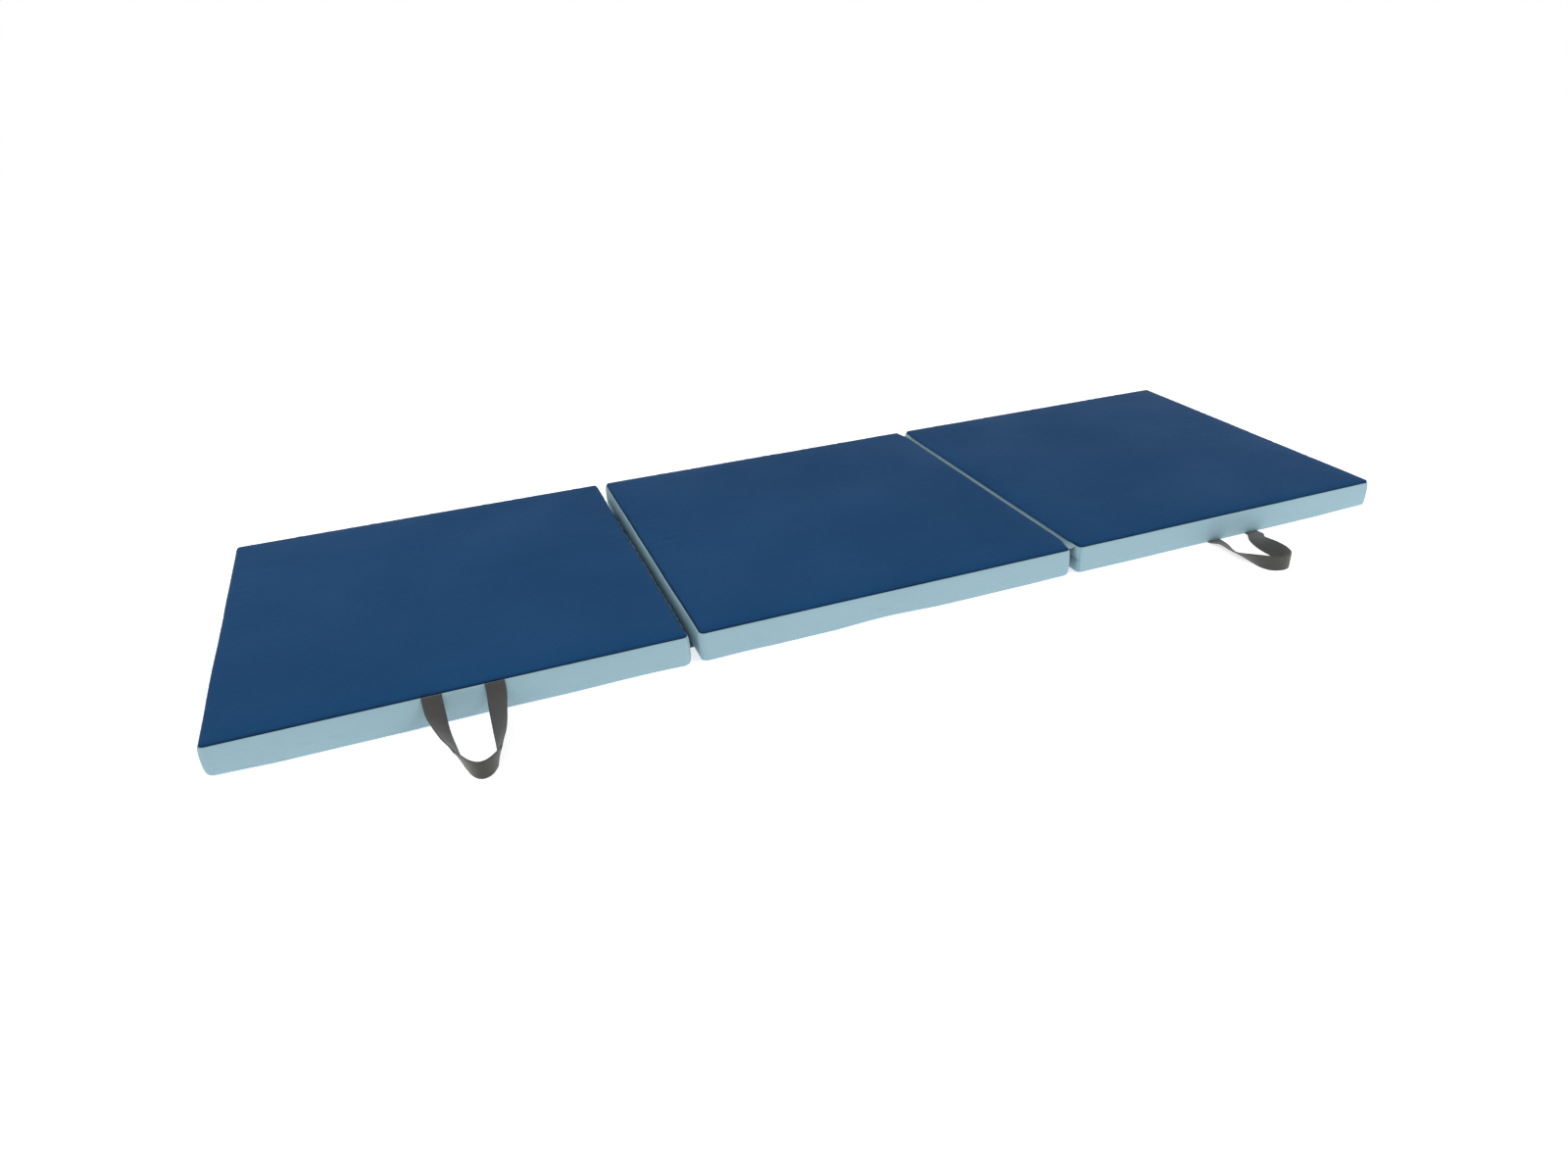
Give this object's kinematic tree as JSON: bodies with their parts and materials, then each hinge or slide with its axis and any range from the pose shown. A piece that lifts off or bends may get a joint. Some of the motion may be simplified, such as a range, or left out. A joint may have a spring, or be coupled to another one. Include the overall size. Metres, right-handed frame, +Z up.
{
  "type": "folding gym mat",
  "caption": "Folding exercise mat: square foam panels in zipped, boxed fabric covers, joined by hinge strips that fold it in a Z, with webbing carry handles.",
  "frame": {"origin": "centre of the middle panel's underside", "axes": "+X along the unfolded mat, +Y away from the side with the carry handles, +Z up from the floor"},
  "size_m": [1.8, 0.7379, 0.0502],
  "materials": {
    "top_fabric": "satin coated fabric, smooth with a fine grain",
    "side_fabric": "matt coated fabric",
    "webbing": "woven polyester webbing",
    "foam": "closed-cell foam",
    "zip_coil": "nylon coil on woven tape",
    "slider_metal": "satin metal",
    "stitching": "polyester thread"
  },
  "bodies": {
    "panel_1": {"foam_core_1": "foam", "top_cover_1": "top_fabric", "bottom_cover_1": "side_fabric", "side_band_1": "side_fabric", "zip_band_lower_1": "side_fabric", "zip_band_upper_1": "side_fabric", "zip_tape_1": "zip_coil"},
    "panel_2": {"foam_core_2": "foam", "top_cover_2": "top_fabric", "bottom_cover_2": "side_fabric", "side_band_2": "side_fabric", "zip_band_lower_2": "side_fabric", "zip_band_upper_2": "side_fabric", "zip_tape_2": "zip_coil", "hinge_strip_bottom": "side_fabric", "hinge_strip_top": "side_fabric"},
    "panel_3": {"foam_core_3": "foam", "top_cover_3": "top_fabric", "bottom_cover_3": "side_fabric", "side_band_3": "side_fabric", "zip_band_lower_3": "side_fabric", "zip_band_upper_3": "side_fabric", "zip_tape_3": "zip_coil"},
    "slider_1": {"zip_slider_1": "slider_metal"},
    "slider_2": {"zip_slider_2": "slider_metal"},
    "slider_3": {"zip_slider_3": "slider_metal"},
    "handle_1": {"handle_1": "webbing"},
    "handle_3": {"handle_3": "webbing"}
  },
  "joints": [
    {"name": "fold_1", "type": "hinge", "parent": "panel_2", "child": "panel_1", "pos_m": [-0.3025, 0, -0.0004], "axis": [0, -1, 0], "range_deg": [-15, 180], "deforming": ["hinge_strip_bottom"]},
    {"name": "fold_2", "type": "hinge", "parent": "panel_3", "child": "panel_2", "pos_m": [0.3025, 0, 0.0506], "axis": [0, 1, 0], "range_deg": [-12, 180], "deforming": ["hinge_strip_top"]},
    {"name": "handle_1_swing", "type": "hinge", "parent": "panel_1", "child": "handle_1", "pos_m": [-0.602, -0.3013, 0.0427], "axis": [-1, 0, 0], "range_deg": [-10, 160]},
    {"name": "handle_3_swing", "type": "hinge", "parent": "panel_3", "child": "handle_3", "pos_m": [0.613, -0.3013, 0.001], "axis": [-1, 0, 0], "range_deg": [-100, 65]},
    {"name": "zip_1", "type": "slide", "parent": "panel_1", "child": "slider_1", "axis": [0, -1, 0], "range_m": [0, 0.5454]},
    {"name": "zip_2", "type": "slide", "parent": "panel_2", "child": "slider_2", "axis": [0, -1, 0], "range_m": [0, 0.5454]},
    {"name": "zip_3", "type": "slide", "parent": "panel_3", "child": "slider_3", "axis": [0, -1, 0], "range_m": [0, 0.5454]}
  ]
}
